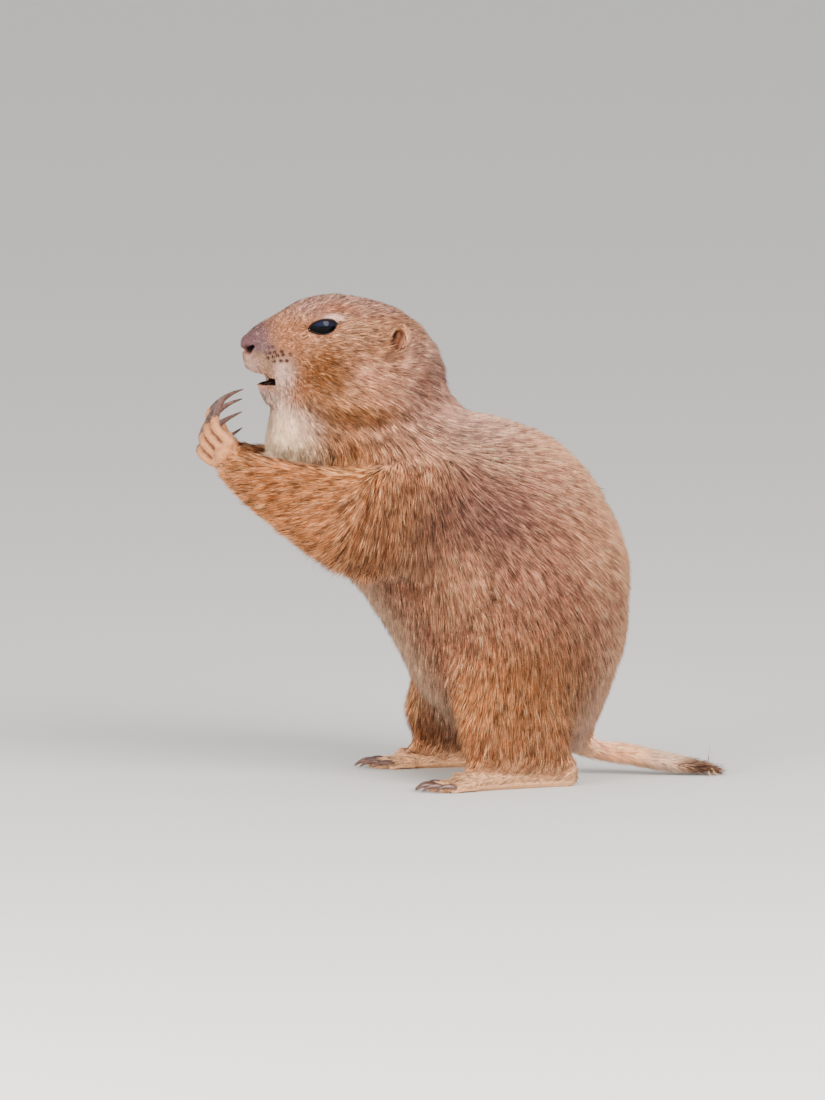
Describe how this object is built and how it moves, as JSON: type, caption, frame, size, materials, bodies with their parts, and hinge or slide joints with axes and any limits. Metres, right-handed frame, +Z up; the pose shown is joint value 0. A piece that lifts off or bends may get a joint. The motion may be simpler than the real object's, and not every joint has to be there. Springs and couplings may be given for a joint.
{
  "type": "prairie dog",
  "caption": "Life-size still model of a prairie dog sitting on its haunches, leaning forward, with both hands raised to its mouth and its tail laid behind it.",
  "frame": {"origin": "on the ground, under the middle of the whole model's length and width", "axes": "the animal faces -Y, its left side is +X, +Z is up"},
  "size_m": [0.107, 0.2156, 0.1977],
  "materials": {
    "head_coat": "short close fur, grizzled brown above, rusty cheeks, pale muzzle",
    "body_coat": "dense short fur, tan with dark-tipped hairs, paler below",
    "limb_coat": "orange-tan fur",
    "tail_coat": "cream-tan fur",
    "tail_tip_coat": "dark brown fur with a rusty edge",
    "ear_skin": "thin skin with sparse short hair",
    "paw": "bare skin with very short hair",
    "claw": "dark horn, satin",
    "eye": "wet gloss"
  },
  "bodies": {
    "root": {"head": "head_coat", "neck": "head_coat", "shoulders": "body_coat", "torso": "body_coat", "rump": "body_coat", "eye_left": "eye", "ear_left": "ear_skin", "upper_arm_left": "limb_coat", "forearm_left": "limb_coat", "hand_left": "paw", "fore_claw_left_1": "claw", "fore_claw_left_2": "claw", "fore_claw_left_3": "claw", "fore_claw_left_4": "claw", "haunch_left": "limb_coat", "lower_leg_left": "limb_coat", "foot_left": "paw", "hind_claw_left_1": "claw", "hind_claw_left_2": "claw", "hind_claw_left_3": "claw", "hind_claw_left_4": "claw", "hind_claw_left_5": "claw", "eye_right": "eye", "ear_right": "ear_skin", "upper_arm_right": "limb_coat", "forearm_right": "limb_coat", "hand_right": "paw", "fore_claw_right_1": "claw", "fore_claw_right_2": "claw", "fore_claw_right_3": "claw", "fore_claw_right_4": "claw", "haunch_right": "limb_coat", "lower_leg_right": "limb_coat", "foot_right": "paw", "hind_claw_right_1": "claw", "hind_claw_right_2": "claw", "hind_claw_right_3": "claw", "hind_claw_right_4": "claw", "hind_claw_right_5": "claw", "tail": "tail_coat", "tail_tip": "tail_tip_coat"}
  },
  "joints": []
}
